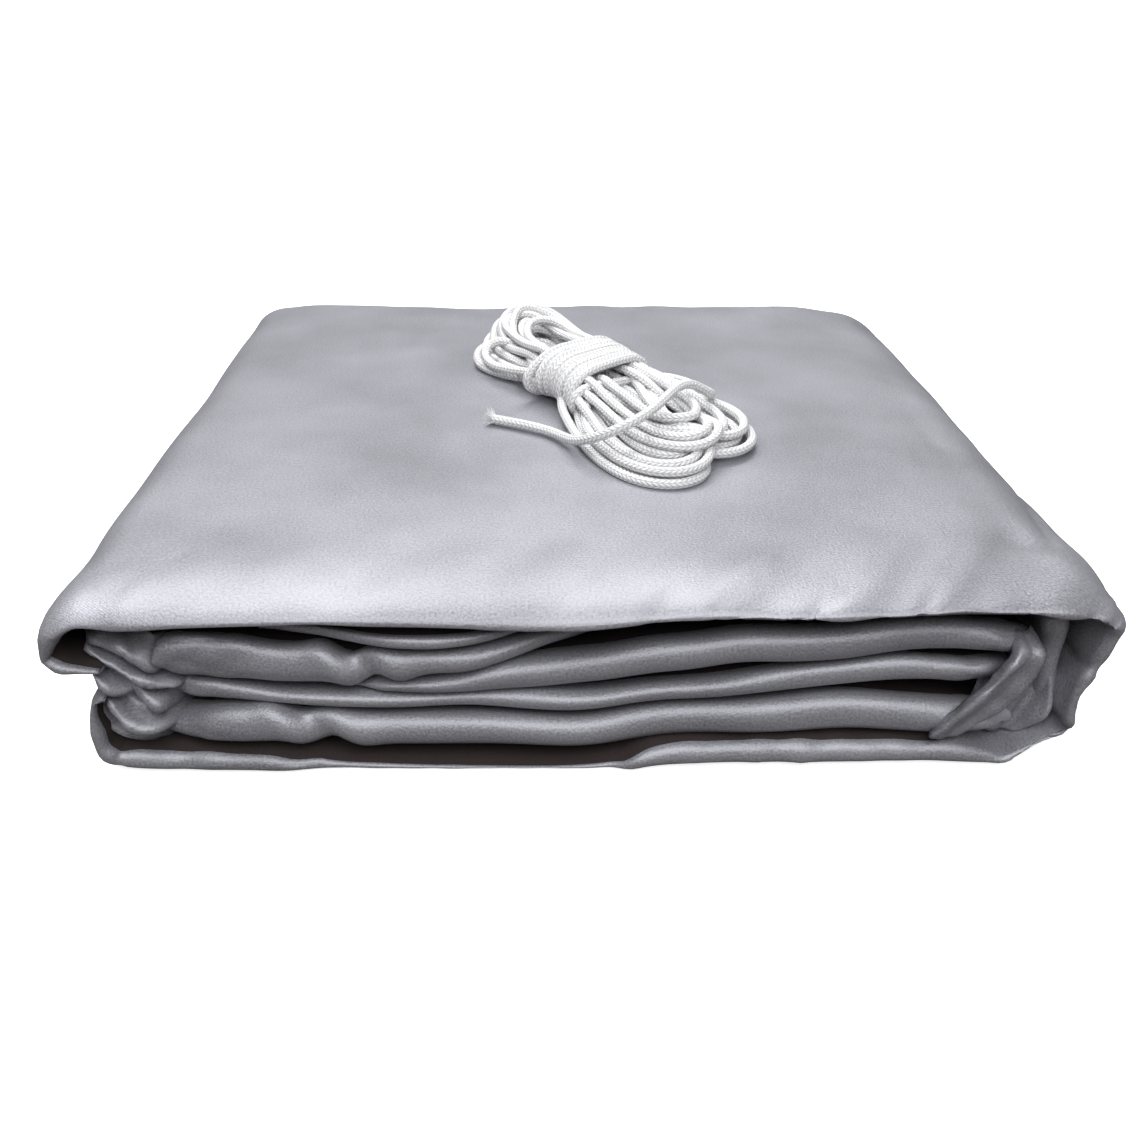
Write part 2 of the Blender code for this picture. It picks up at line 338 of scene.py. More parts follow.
def braid_group():
    """Rows of small slanting stitches that meet in points along a braided cord."""
    group, nodes, links, given, out = new_tree(
        "braid", "ShaderNodeTree",
        [("Vector", "Vector"), ("Stitch length", "Float", 0.0026), ("Rows", "Float", 4.0)],
        [("Height", "Float"), ("Groove", "Float")])
    split = nodes.new("ShaderNodeSeparateXYZ")
    links.new(given.outputs["Vector"], split.inputs[0])
    along = math_node(nodes, links, "DIVIDE", split.outputs["X"], given.outputs["Stitch length"])
    around = math_node(nodes, links, "MULTIPLY", split.outputs["Y"], given.outputs["Rows"])
    sawtooth = math_node(nodes, links, "PINGPONG", around, 0.5)
    phase = math_node(nodes, links, "ADD", along, math_node(nodes, links, "MULTIPLY", sawtooth, 1.6))
    stitch = math_node(nodes, links, "ABSOLUTE",
                       math_node(nodes, links, "SINE", math_node(nodes, links, "MULTIPLY", phase, math.pi)))
    ridge = math_node(nodes, links, "ABSOLUTE",
                      math_node(nodes, links, "SINE", math_node(nodes, links, "MULTIPLY", around, math.tau)))
    lifted = math_node(nodes, links, "POWER", stitch, 0.6)
    height = math_node(nodes, links, "MULTIPLY", lifted, math_node(nodes, links, "POWER", ridge, 0.35))
    links.new(height, out.inputs["Height"])
    links.new(math_node(nodes, links, "SUBTRACT", 1.0, height), out.inputs["Groove"])
    return group


def group_of(name, build):
    return bpy.data.node_groups.get(name) or build()


def new_material(name):
    made = bpy.data.materials.new(name)
    made.use_nodes = True
    nodes = made.node_tree.nodes
    return made, nodes, made.node_tree.links, nodes["Principled BSDF"]


def group_node(nodes, links, group):
    """The group placed in a material, reading the piece's own UV map."""
    where = nodes.new("ShaderNodeUVMap")
    node = nodes.new("ShaderNodeGroup")
    node.node_tree = group
    links.new(where.outputs["UV"], node.inputs["Vector"])
    return node


def tinted(nodes, links, base, low, high, factor):
    """The base colour made darker or lighter as factor runs from 0 to 1."""
    mix = nodes.new("ShaderNodeMix")
    mix.data_type = "RGBA"
    mix.inputs["A"].default_value = (*(c * low for c in base), 1)
    mix.inputs["B"].default_value = (*(min(c * high, 1) for c in base), 1)
    links.new(factor, mix.inputs["Factor"])
    return mix.outputs["Result"]


def spread(nodes, links, value, low, high):
    """The value stretched so that low to high runs from 0 to 1."""
    node = add_node(nodes, "ShaderNodeMapRange", From_Min=low, From_Max=high)
    links.new(value, node.inputs["Value"])
    return node.outputs["Result"]


def grain_of(nodes, links, **values):
    """Fine noise over the piece."""
    where = nodes.new("ShaderNodeTexCoord")
    grain = add_node(nodes, "ShaderNodeTexNoise", **values)
    links.new(where.outputs["Object"], grain.inputs["Vector"])
    return grain.outputs["Fac"]


def emboss(nodes, links, shader, height, strength, distance):
    """Turns a height that varies over the surface into the shader's normal."""
    lift = add_node(nodes, "ShaderNodeBump", Strength=strength, Distance=distance)
    links.new(height, lift.inputs["Height"])
    links.new(lift.outputs["Normal"], shader.inputs["Normal"])


def cloth_material(name, colour, roughness, silver):
    """Woven polyester: fine weave, speckle and cloudy unevenness. silver is how metallic its coating is."""
    made, nodes, links, shader = new_material(name)
    weave = group_node(nodes, links, group_of("plain_weave", plain_weave_group))
    speckle = spread(nodes, links, weave.outputs["Speckle"], 0.30, 0.70)
    cloud = spread(nodes, links, weave.outputs["Cloud"], 0.30, 0.70)
    both = math_node(nodes, links, "ADD", math_node(nodes, links, "MULTIPLY", speckle, 0.6),
                     math_node(nodes, links, "MULTIPLY", cloud, 0.4))
    links.new(tinted(nodes, links, colour, 0.62, 1.38, both), shader.inputs["Base Color"])
    links.new(math_node(nodes, links, "ADD", math_node(nodes, links, "MULTIPLY", speckle, 0.14),
                        roughness - 0.07), shader.inputs["Roughness"])
    emboss(nodes, links, shader, weave.outputs["Height"], strength=0.5, distance=0.0004)
    shader.inputs["Metallic"].default_value = silver
    shader.inputs["Specular IOR Level"].default_value = 0.6
    return made


def cord_material(name, colour):
    """White braided cord: matt, with shadowed grooves between its stitches."""
    made, nodes, links, shader = new_material(name)
    braid = group_node(nodes, links, group_of("braid", braid_group))
    # Painted shade: the base colour is darkened in the grooves between the stitches
    links.new(tinted(nodes, links, colour, 1.0, 0.62, braid.outputs["Groove"]), shader.inputs["Base Color"])
    shader.inputs["Roughness"].default_value = 0.62
    emboss(nodes, links, shader, braid.outputs["Height"], strength=0.7, distance=0.0009)
    return made


def hidden_material(name, colour, roughness, metallic):
    """For the pieces inside the folds: plain colour broken up by fine grain."""
    made, nodes, links, shader = new_material(name)
    grain = grain_of(nodes, links, Scale=700.0, Detail=4.0)
    links.new(tinted(nodes, links, colour, 0.8, 1.15, grain), shader.inputs["Base Color"])
    shader.inputs["Roughness"].default_value = roughness
    shader.inputs["Metallic"].default_value = metallic
    emboss(nodes, links, shader, grain, strength=0.3, distance=0.0002)
    return made


def material_named(name, build, *facts):
    return bpy.data.materials.get(name) or build(name, *facts)


# ---------------------------------------------------------------- stage

FLOOR_GLOW = 0.75         # the floor's own light, as the camera sees it
SKY_GLOW = 0.9            # the same for the surroundings
FLOOR_BOUNCE = (0.16, 0.15, 0.145, 1)  # the floor's colour in the light that it sends back to the cover


def place_camera():
    """The camera, with its turns in degrees: down from level, round from +Y and about its own axis."""
    eye = Vector((-0.0234, -0.5526, 0.2997))
    pitch, yaw, roll = (math.radians(a) for a in (29.91, 2.33, 0.89))
    forward = Vector((math.sin(yaw) * math.cos(pitch), math.cos(yaw) * math.cos(pitch), -math.sin(pitch)))
    right = forward.cross(Vector((0, 0, 1))).normalized()
    up = right.cross(forward)
    right, up = (right * math.cos(roll) + up * math.sin(roll), up * math.cos(roll) - right * math.sin(roll))
    data = bpy.data.cameras.new("camera")
    data.sensor_width = 36.0
    data.lens = 33.47
    camera = new_object("camera", data)
    camera.matrix_world = Matrix.Translation(eye) @ Matrix((right, up, -forward)).transposed().to_4x4()
    bpy.context.scene.camera = camera
    bpy.context.scene.view_settings.view_transform = "Standard"


def area_light(name, place, target, size, power):
    data = bpy.data.lights.new(name, "AREA")
    data.shape = "RECTANGLE"
    data.size, data.size_y = size
    data.energy = power
    light = new_object(name, data)
    light.location = place
    light.rotation_euler = (Vector(target) - Vector(place)).to_track_quat("-Z", "Y").to_euler()


def lay_floor(colour):
    bpy.ops.mesh.primitive_plane_add(size=60, location=(0, 0, -0.0006))
    floor = bpy.context.object
    floor.name = "floor"
    made, nodes, links, shader = new_material("pale floor")
    pale = tinted(nodes, links, colour, 0.98, 1.02, grain_of(nodes, links, Scale=3.0))
    path = nodes.new("ShaderNodeLightPath")
    bounce = nodes.new("ShaderNodeMix")
    bounce.data_type = "RGBA"
    bounce.inputs["A"].default_value = FLOOR_BOUNCE
    links.new(pale, bounce.inputs["B"])
    links.new(path.outputs["Is Camera Ray"], bounce.inputs["Factor"])
    links.new(bounce.outputs["Result"], shader.inputs["Base Color"])
    shader.inputs["Roughness"].default_value = 0.9
    shader.inputs["Specular IOR Level"].default_value = 0.0
    shader.inputs["Emission Color"].default_value = (1, 1, 1, 1)
    links.new(math_node(nodes, links, "MULTIPLY", path.outputs["Is Camera Ray"], FLOOR_GLOW),
              shader.inputs["Emission Strength"])
    floor.data.materials.append(made)


def light_stage(settings):
    world = bpy.data.worlds.new("studio")
    bpy.context.scene.world = world
    world.use_nodes = True
    nodes, links = world.node_tree.nodes, world.node_tree.links
    sky = nodes["Background"]
    sky.inputs["Color"].default_value = (1.0, 1.0, 1.0, 1)
    path = nodes.new("ShaderNodeLightPath")
    strength = math_node(nodes, links, "ADD", settings.ambient,
                         math_node(nodes, links, "MULTIPLY", path.outputs["Is Camera Ray"], SKY_GLOW))
    links.new(strength, sky.inputs["Strength"])
    area_light("back softbox", (-0.24, 0.52, 1.15), (-0.02, -0.15, 0.08), (1.6, 0.5), settings.key_power)
    area_light("front softbox", (0.10, -1.00, 1.10), (0, -0.10, 0.04), (1.6, 0.8), settings.fill_power)
    sun = bpy.data.lights.new("overhead", "SUN")
    sun.energy = settings.overhead
    sun.angle = math.radians(28)
    lamp = new_object("overhead", sun)
    lamp.rotation_euler = (math.radians(8), math.radians(-8), 0)


# ---------------------------------------------------------------- the tie cord

# The hank's own frame: its middle on the top panel, and its long axis turned from +X about +Z
HANK_CENTRE = Vector((0.0138, 0.0157, TOP_Z))
HANK_TURN = math.radians(-67.5)
# The cord's free end: along the hank, across it, height of the cord's middle above the top panel
TAIL_ROUTE = [
    (0.004, 0.0364, 0.012), (0.014, 0.0425, 0.0125), (0.028, 0.047, 0.0125), (0.042, 0.048, 0.013),
    (0.053, 0.0445, 0.0145), (0.059, 0.0375, 0.018), (0.058, 0.0325, 0.024), (0.055, 0.0265, 0.028),
    (0.058, 0.0195, 0.0287), (0.065, 0.011, 0.0277), (0.0725, 0.002, 0.0267), (0.08, -0.008, 0.0255),
    (0.0865, -0.018, 0.0245), (0.0885, -0.0275, 0.0225), (0.0845, -0.036, 0.018),
    (0.075, -0.0415, 0.012), (0.064, -0.0435, 0.007), (0.053, -0.0425, 0.004), (0.042, -0.042, 0.0028),
    (0.031, -0.047, 0.0026), (0.0195, -0.056, 0.0026), (0.009, -0.066, 0.0026),
]
# The long turns: half width, middle, tip and layer of the front loop, then the same of the back loop. The
# front has two bunches side by side, and two of the back loops lean out to the left.
LOOPS = [
    (0.0265, -0.0115, 0.12, 0.0, 0.029, -0.004, 0.119, 0),
    (0.03, 0.0235, 0.103, 0.6, 0.024, -0.003, 0.115, 0),
    (0.0215, -0.011, 0.115, 0.0, 0.019, -0.004, 0.106, 0),
    (0.0245, 0.0235, 0.097, 0.6, 0.015, -0.002, 0.102, 0),
    (0.017, -0.01, 0.108, 0.0, 0.015, -0.034, 0.086, 0),
    (0.019, 0.0225, 0.09, 0.7, 0.014, 0.0, 0.09, 0),
    (0.0145, -0.009, 0.098, 0.3, 0.0135, -0.033, 0.078, 0.9),
    (0.015, 0.0205, 0.083, 1.0, 0.027, 0.0, 0.117, 1),
    (0.025, -0.009, 0.117, 1.0, 0.0215, -0.002, 0.111, 1),
    (0.027, 0.0255, 0.095, 1.7, 0.016, 0.001, 0.104, 1),
    (0.0195, -0.008, 0.11, 1.0, 0.015, 0.0, 0.096, 1),
    (0.021, 0.02, 0.088, 1.8, 0.025, 0.002, 0.113, 2),
    (0.0155, -0.004, 0.102, 1.2, 0.0195, 0.001, 0.105, 2),
    (0.023, 0.004, 0.108, 2.2, 0.0155, 0.002, 0.098, 2),
    (0.0175, 0.007, 0.098, 2.3, 0.014, 0.001, 0.086, 2.3),
    (0.0145, 0.011, 0.086, 2.6, 0.018, -0.006, 0.101, 3),
]
WAIST_ROWS = (5, 5, 4, 2)  # strands on each side of the middle, in each layer of the waist
WAIST_HALF = 0.0262       # the outermost strand's distance from the middle, at the waist
WAIST_MIDDLE = -0.007     # where the waist lies along the hank
WRAP_TILT = 0.42          # how far a turn round the waist moves along the hank, for its way across
ROUTE_STEP = 0.0032       # spacing of the cord's points while it settles
FINE_STEP = 0.0010        # spacing of the smooth curve drawn through the settled points
SETTLING = 500            # rounds of settling
PUSH = 1.5                # how strongly strands that overlap push each other apart in a round
SINK = 0.00006            # how far the cord sinks in each of the early rounds
EARLY = 0.7               # the share of the rounds that are early
SMOOTHING = 30            # rounds of smoothing the bends
HANK_HOLD = 0.55          # how strongly the hank keeps to its route while it settles
TAIL_HOLD = 2.5           # the same for the free end


def hank_loops(diameter, rng):
    """The route of the long turns, as control points in the hank's frame."""
    pitch = 1.03 * diameter
    slots = [(row, place) for row, count in enumerate(WAIST_ROWS) for place in range(count)]
    route = []
    for (row, place), loop in zip(slots, LOOPS):
        front, front_mid, front_tip, front_layer, back, back_mid, back_tip, back_layer = loop
        column = WAIST_HALF - pitch * (place + 0.5 * (row % 2))
        waist = diameter * (1.5 + 0.95 * row)
        fz, bz = (diameter * (0.52 + 0.97 * layer) for layer in (front_layer, back_layer))
        slide = rng.normal(0, 0.0012)
        front_tip, back_tip = front_tip + 0.006 + slide, -back_tip - 0.010 + slide
        uf, ub = front_tip - front, back_tip + back
        corner = math.sqrt(0.5)
        raised = min(bz + 0.0060 + 0.0042 * back_layer, 0.0250)
        halfway_f, halfway_b = 0.5 * (fz + waist), 0.5 * (bz + waist)
        jitter = rng.normal(0, 0.0010, 6)
        route += [
            (WAIST_MIDDLE, -column, waist),
            (-0.038, 0.5 * (back_mid - column - back) + jitter[0], halfway_b),
            (ub * 0.85, back_mid - back + jitter[1], bz), (ub, back_mid - back, bz),
            (ub - corner * back, back_mid - corner * back, raised), (back_tip, back_mid, raised),
            (ub - corner * back, back_mid + corner * back, raised), (ub, back_mid + back, bz),
            (-0.038, 0.5 * (back_mid + column + back) + jitter[2], halfway_b),
            (WAIST_MIDDLE, column, waist),
            (0.026, 0.5 * (front_mid + column + front) + jitter[3], halfway_f),
            (0.050, front_mid + 0.95 * front + jitter[4], fz), (uf, front_mid + front, fz),
            (uf + corner * front, front_mid + corner * front, fz), (front_tip, front_mid, fz),
            (uf + corner * front, front_mid - corner * front, fz), (uf, front_mid - front, fz),
            (0.050, front_mid - 0.95 * front + jitter[5], fz),
            (0.026, 0.5 * (front_mid - column - front), halfway_f),
        ]
    return route


def waist_turns(diameter, turns):
    """The route of the turns round the hank's waist, from its underside on the left. The first ones hang
    loose."""
    half = WAIST_HALF + 1.15 * diameter
    low, high = 0.52 * diameter, diameter * (1.5 + 0.95 * len(WAIST_ROWS) + 0.1)
    middle, lift = (low + high) / 2, (high - low) / 2
    steps = 16
    pitch = 1.10 * diameter
    made = []
    for k in range(int(turns * steps) + 1):
        turn = k / steps
        angle = math.tau * turn
        across, up = -math.sin(angle), -math.cos(angle)
        v = half * math.copysign(abs(across) ** 0.62, across)
        z = middle + lift * math.copysign(abs(up) ** 0.62, up)
        slack = max(0.0, 1 - turn / 2.6) * max(0.0, -v / half)
        u = WAIST_MIDDLE - pitch * (turns / 2 - turn) - WRAP_TILT * v
        made.append((u, v * (1 + 0.60 * slack), z - 0.0070 * slack * (z > middle)))
    return made


def relaxed(line, diameter, rounds, held):
    """The cord's points after it has pushed itself apart, settled on the cloth and smoothed its bends. held
    is how strongly each point keeps its place."""
    aim = line.copy()
    now = line.copy()
    gap = float(np.linalg.norm(np.diff(line, axis=0), axis=1).mean())
    floor = 0.5 * diameter
    near = max(4, math.ceil(1.6 * diameter / gap))
    pairs = None
    for k in range(rounds):
        if k % 8 == 0:
            tree = KDTree(len(now))
            for i, p in enumerate(now):
                tree.insert(p, i)
            tree.balance()
            found = [(i, j) for i, p in enumerate(now) for _, j, _ in tree.find_range(p, 1.35 * diameter)
                     if j - i > near]
            pairs = np.array(found).reshape(-1, 2)
        push = np.zeros_like(now)
        count = np.ones(len(now))
        apart = now[pairs[:, 0]] - now[pairs[:, 1]]
        distance = np.maximum(np.linalg.norm(apart, axis=1), 1e-9)
        short = np.clip(diameter - distance, 0, None)
        shove = apart / distance[:, None] * (short * 0.5)[:, None]
        np.add.at(push, pairs[:, 0], shove)
        np.add.at(push, pairs[:, 1], -shove)
        np.add.at(count, pairs[:, 0], short > 0)
        np.add.at(count, pairs[:, 1], short > 0)
        now = now + push / np.maximum(count, 1)[:, None] * PUSH
        now[:, 2] -= SINK * (k < EARLY * rounds)
        for _ in range(2):
            step = np.diff(now, axis=0)
            length = np.maximum(np.linalg.norm(step, axis=1), 1e-9)
            fix = step * (0.25 * (length - gap) / length)[:, None]
            now[:-1] += fix
            now[1:] -= fix
        now[2:-2] += 0.12 * (0.5 * (now[:-4] + now[4:]) - now[2:-2])
        now[1:-1] += 0.15 * (0.5 * (now[:-2] + now[2:]) - now[1:-1])
        now += (aim - now) * (0.02 * held)[:, None]
        now[:, 2] = np.maximum(now[:, 2], floor)
    return now


def cord_line(settings):
    """The whole cord's centreline, from its cut end in the open to its other end in the hank."""
    rng = np.random.default_rng(11)
    d = settings.diameter
    tail = TAIL_ROUTE[::-1]
    turns = waist_turns(d, settings.turns + 0.25)[::-1]
    loops = hank_loops(d, rng)
    joined = tail + turns + loops[::-1]
    line = through(joined, ROUTE_STEP, 3)
    free = through(tail, ROUTE_STEP, 3)
    held = np.full(len(line), HANK_HOLD)
    held[:len(free)] = TAIL_HOLD
    line = relaxed(line, d, SETTLING, held)
    line = respaced(through(line[::2], FINE_STEP, 3), settings.ring_step)
    for _ in range(SMOOTHING):
        line[1:-1] += 0.5 * (0.5 * (line[:-2] + line[2:]) - line[1:-1])
    line = respaced(line, settings.ring_step)
    line[:, 2] = np.maximum(line[:, 2], d / 2)
    turn = np.array(Matrix.Rotation(HANK_TURN, 3, "Z"))
    return line @ turn.T + np.array(HANK_CENTRE)


def tube_tree():
    """Geometry nodes that sweep a ring of the cord's radius along a poly line and cap its ends."""
    tree, nodes, links, given, out = new_tree(
        "cord_tube", "GeometryNodeTree",
        [("Line", "Geometry"), ("Radius", "Float"), ("Sides", "Int"), ("Material", "Material")],
        [("Tube", "Geometry")])
    curve = nodes.new("GeometryNodeMeshToCurve")
    ring = nodes.new("GeometryNodeCurvePrimitiveCircle")
    sweep = add_node(nodes, "GeometryNodeCurveToMesh", Fill_Caps=True)
    smooth = nodes.new("GeometryNodeSetShadeSmooth")
    real = nodes.new("GeometryNodeRealizeInstances")
    coat = nodes.new("GeometryNodeSetMaterial")
    links.new(given.outputs["Line"], curve.inputs["Mesh"])
    links.new(given.outputs["Radius"], ring.inputs["Radius"])
    links.new(given.outputs["Sides"], ring.inputs["Resolution"])
    links.new(curve.outputs["Curve"], sweep.inputs["Curve"])
    links.new(ring.outputs["Curve"], sweep.inputs["Profile Curve"])
    links.new(sweep.outputs["Mesh"], smooth.inputs["Geometry"])
    links.new(smooth.outputs["Geometry"], real.inputs["Geometry"])
    links.new(real.outputs["Geometry"], coat.inputs["Geometry"])
    links.new(given.outputs["Material"], coat.inputs["Material"])
    links.new(coat.outputs["Geometry"], out.inputs["Tube"])
    return tree


def grown(name, mesh, tree, values):
    """A plain mesh object: the mesh run through the geometry nodes, with the inputs named in values."""
    source = new_object(name + "_source", mesh)
    modifier = source.modifiers.new("nodes", "NODES")
    modifier.node_group = tree
    for item in tree.interface.items_tree:
        if item.item_type == "SOCKET" and item.in_out == "INPUT" and item.name in values:
            modifier[item.identifier] = values[item.name]
    bpy.context.view_layer.update()
    evaluated = source.evaluated_get(bpy.context.evaluated_depsgraph_get())
    result = bpy.data.meshes.new_from_object(evaluated)
    result.name = name
    source.modifiers.remove(modifier)
    bpy.data.objects.remove(source)
    return new_object(name, result)


def wrap_uv_round(obj, line, sides):
    """UV of the cord: metres along it, and its way round from 0 to 1."""
    mesh = obj.data
    along = distances(line)
    corner = np.zeros(len(mesh.loops), int)
    mesh.loops.foreach_get("vertex_index", corner)
    ring = np.minimum(corner // sides, len(line) - 1)
    round_it = (corner % sides) / sides
    start = np.zeros(len(mesh.polygons), int)
    total = np.zeros(len(mesh.polygons), int)
    mesh.polygons.foreach_get("loop_start", start)
    mesh.polygons.foreach_get("loop_total", total)
    for a in start[total == 4]:
        four = round_it[a:a + 4]
        if four.max() - four.min() > 0.5:
            four[four < 0.5] += 1.0
    uv = np.stack([along[ring], round_it], axis=1)
    layer = mesh.uv_layers.get("UVMap") or mesh.uv_layers.new(name="UVMap")
    layer.data.foreach_set("uv", uv.reshape(-1).astype(np.float32))


def fray_tree():
    """Geometry nodes that set fine tapering fibres, leaning at random, on the points of a disc."""
    tree, nodes, links, given, out = new_tree(
        "cord_fray", "GeometryNodeTree",
        [("Disc", "Geometry"), ("Length", "Float"), ("Thickness", "Float"), ("Lean", "Float"),
         ("Density", "Float"), ("Material", "Material")],
        [("Fibres", "Geometry")])
    scatter = add_node(nodes, "GeometryNodeDistributePointsOnFaces", Seed=5)
    fibre = add_node(nodes, "GeometryNodeMeshCone", Vertices=5, Radius_Top=0.00004)
    lean = nodes.new("FunctionNodeRandomValue")
    lean.data_type = "FLOAT_VECTOR"
    lean.inputs["Seed"].default_value = 7
    least = nodes.new("ShaderNodeCombineXYZ")
    most = nodes.new("ShaderNodeCombineXYZ")
    turn = nodes.new("FunctionNodeRotateRotation")
    turn.rotation_space = "LOCAL"
    turning = nodes.new("FunctionNodeEulerToRotation")
    size = add_node(nodes, "FunctionNodeRandomValue", Min=0.55, Max=1.1, Seed=9)
    place = nodes.new("GeometryNodeInstanceOnPoints")
    real = nodes.new("GeometryNodeRealizeInstances")
    coat = nodes.new("GeometryNodeSetMaterial")
    links.new(given.outputs["Disc"], scatter.inputs["Mesh"])
    links.new(given.outputs["Density"], scatter.inputs["Density"])
    links.new(given.outputs["Thickness"], fibre.inputs["Radius Bottom"])
    links.new(given.outputs["Length"], fibre.inputs["Depth"])
    for axis in "XY":
        links.new(math_node(nodes, links, "MULTIPLY", given.outputs["Lean"], -1.0), least.inputs[axis])
        links.new(given.outputs["Lean"], most.inputs[axis])
    links.new(least.outputs["Vector"], lean.inputs["Min"])
    links.new(most.outputs["Vector"], lean.inputs["Max"])
    links.new(lean.outputs["Value"], turning.inputs["Euler"])
    links.new(scatter.outputs["Rotation"], turn.inputs["Rotation"])
    links.new(turning.outputs["Rotation"], turn.inputs["Rotate By"])
    links.new(scatter.outputs["Points"], place.inputs["Points"])
    links.new(fibre.outputs["Mesh"], place.inputs["Instance"])
    links.new(turn.outputs["Rotation"], place.inputs["Rotation"])
    links.new(size.outputs[1], place.inputs["Scale"])
    links.new(place.outputs["Instances"], real.inputs["Geometry"])
    links.new(real.outputs["Geometry"], coat.inputs["Geometry"])
    links.new(given.outputs["Material"], coat.inputs["Material"])
    links.new(coat.outputs["Geometry"], out.inputs["Fibres"])
    return tree


def frayed_end(line, settings, white):
    """The opened-out fibres at the cord's cut end."""
    outward = Vector(line[0] - line[4]).normalized()
    disc = bpy.data.meshes.new("cord_cut")
    shape = bmesh.new()
    bmesh.ops.create_circle(shape, cap_ends=True, segments=16, radius=0.46 * settings.diameter)
    turned = outward.to_track_quat("Z", "Y").to_matrix().to_4x4()
    inset = Vector(line[0]) - outward * 0.0004
    bmesh.ops.transform(shape, matrix=Matrix.Translation(inset) @ turned, verts=shape.verts)
    shape.normal_update()
    if shape.faces[:][0].normal.dot(outward) < 0:
        bmesh.ops.reverse_faces(shape, faces=shape.faces[:])
    shape.to_mesh(disc)
    shape.free()
    fray = grown("cord_fray", disc, fray_tree(),
                 {"Length": 0.0062, "Thickness": 0.00026, "Lean": 0.85, "Density": 9e6, "Material": white})
    mesh = fray.data
    layer = mesh.uv_layers.get("UVMap") or mesh.uv_layers.new(name="UVMap")
    layer.data.foreach_set("uv", np.full(2 * len(mesh.loops), 0.02, np.float32))
    low = TOP_Z + 0.0002
    for vertex in mesh.vertices:
        vertex.co.z = max(vertex.co.z, low)
    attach(fray, "cord_hank")
    return fray


def make_cord(settings):
    line = cord_line(settings)
    mesh = bpy.data.meshes.new("cord_line")
    mesh.from_pydata(line.tolist(), [(k, k + 1) for k in range(len(line) - 1)], [])
    white = material_named("white braided cord", cord_material, tuple(settings.colour))
    cord = grown("tie_cord", mesh, tube_tree(),
                 {"Radius": settings.diameter / 2, "Sides": settings.sides, "Material": white})
    wrap_uv_round(cord, line, settings.sides)
    fray = frayed_end(line, settings, white)
    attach(cord, "cord_hank")
    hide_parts("cord_hank", "cord_wraps", "cord_tail")


# ---------------------------------------------------------------- folded cloth

# The outer wrap's outside, from its tucked-in end on the upper left, over the top, down the spine and back
# along the underside: x, z, thickness of the fold, how far its front edge's rounding reaches back
WRAP = [
    (-0.195, 0.052, 0.0012, 0.005), (-0.203, 0.0508, 0.004, 0.008), (-0.2125, 0.051, 0.006, 0.01),
    (-0.2195, 0.056, 0.0075, 0.014), (-0.2188, 0.0655, 0.0085, 0.016), (-0.2135, 0.0757, 0.0095, 0.02),
    (-0.204, 0.0815, 0.0105, 0.026), (-0.188, 0.083, 0.012, 0.034), (-0.14, 0.083, 0.0105, 0.04),
    (-0.095, 0.083, 0.0112, 0.042), (-0.05, 0.083, 0.0136, 0.042), (-0.01, 0.083, 0.0138, 0.042),
    (0.043, 0.083, 0.0098, 0.042), (0.083, 0.083, 0.0086, 0.04), (0.123, 0.083, 0.0068, 0.038),
    (0.163, 0.083, 0.0062, 0.034), (0.1865, 0.0828, 0.0072, 0.03), (0.2035, 0.0818, 0.009, 0.024),
    (0.214, 0.0775, 0.011, 0.018), (0.219, 0.069, 0.012, 0.014), (0.218, 0.058, 0.0115, 0.012),
    (0.215, 0.045, 0.0115, 0.012), (0.21, 0.0355, 0.01, 0.012), (0.209, 0.026, 0.0095, 0.012),
    (0.2088, 0.018, 0.009, 0.011), (0.205, 0.0125, 0.0075, 0.01), (0.195, 0.0085, 0.006, 0.009),
    (0.1865, 0.0045, 0.0045, 0.008), (0.18, 0.0008, 0.0045, 0.008), (0.17, 0.0, 0.008, 0.01),
    (0.145, 0.0, 0.0112, 0.013), (0.06, 0.0, 0.0112, 0.013), (0.028, 0.0, 0.0096, 0.011),
    (0.012, 0.0, 0.003, 0.005), (-0.1, 0.0, 0.0028, 0.005), (-0.135, 0.0, 0.0075, 0.01),
    (-0.172, 0.0, 0.009, 0.012), (-0.19, 0.0008, 0.0095, 0.012), (-0.201, 0.004, 0.0085, 0.012),
    (-0.206, 0.011, 0.008, 0.012), (-0.2068, 0.022, 0.007, 0.012), (-0.2055, 0.032, 0.0055, 0.01),
    (-0.202, 0.0385, 0.004, 0.008), (-0.196, 0.0398, 0.0012, 0.005),
]
SPINE_CORNER = 0.150      # x where the back edge starts to round off towards the spine
OPEN_CORNER = -0.180      # x where it starts to draw in towards the open side
FLAT_POINTS = 54          # across the flat of the wrap's fold, front to back
LEAF_POINTS = 34          # the same for a leaf
INNER_POINTS = 24         # and for the fold inside the spine
LEAF_PRESS = 0.0045       # how far a leaf's flat part is pressed in behind its rolled edge, at most
ROLL_POINTS = 9           # round each quarter of a rolled edge
UNDER_ROLL = 0.35         # the lower quarter of a rolled edge reaches this share as far back
BACK_MARGIN = 0.012       # the painted shade stops this far from the back edge
TOP_PAINTED_SHADE_X = 0.168     # x where the painted shade on the wrap's inner faces ends towards the spine, upper half
UNDER_PAINTED_SHADE_X = 0.151   # and lower half
SILVER = 0.45             # how metallic the coating looks
PAINTED_SHADE_ROUGHNESS = 0.75  # the near-black cloth of the painted shade is nearly matt


def spaced(count):
    """Shares from 0 to 1, closer together towards both ends."""
    even = np.linspace(0, 1, count)
    return (0.78 * (0.5 - 0.5 * np.cos(math.pi * even)) + 0.22 * even)[None, :]


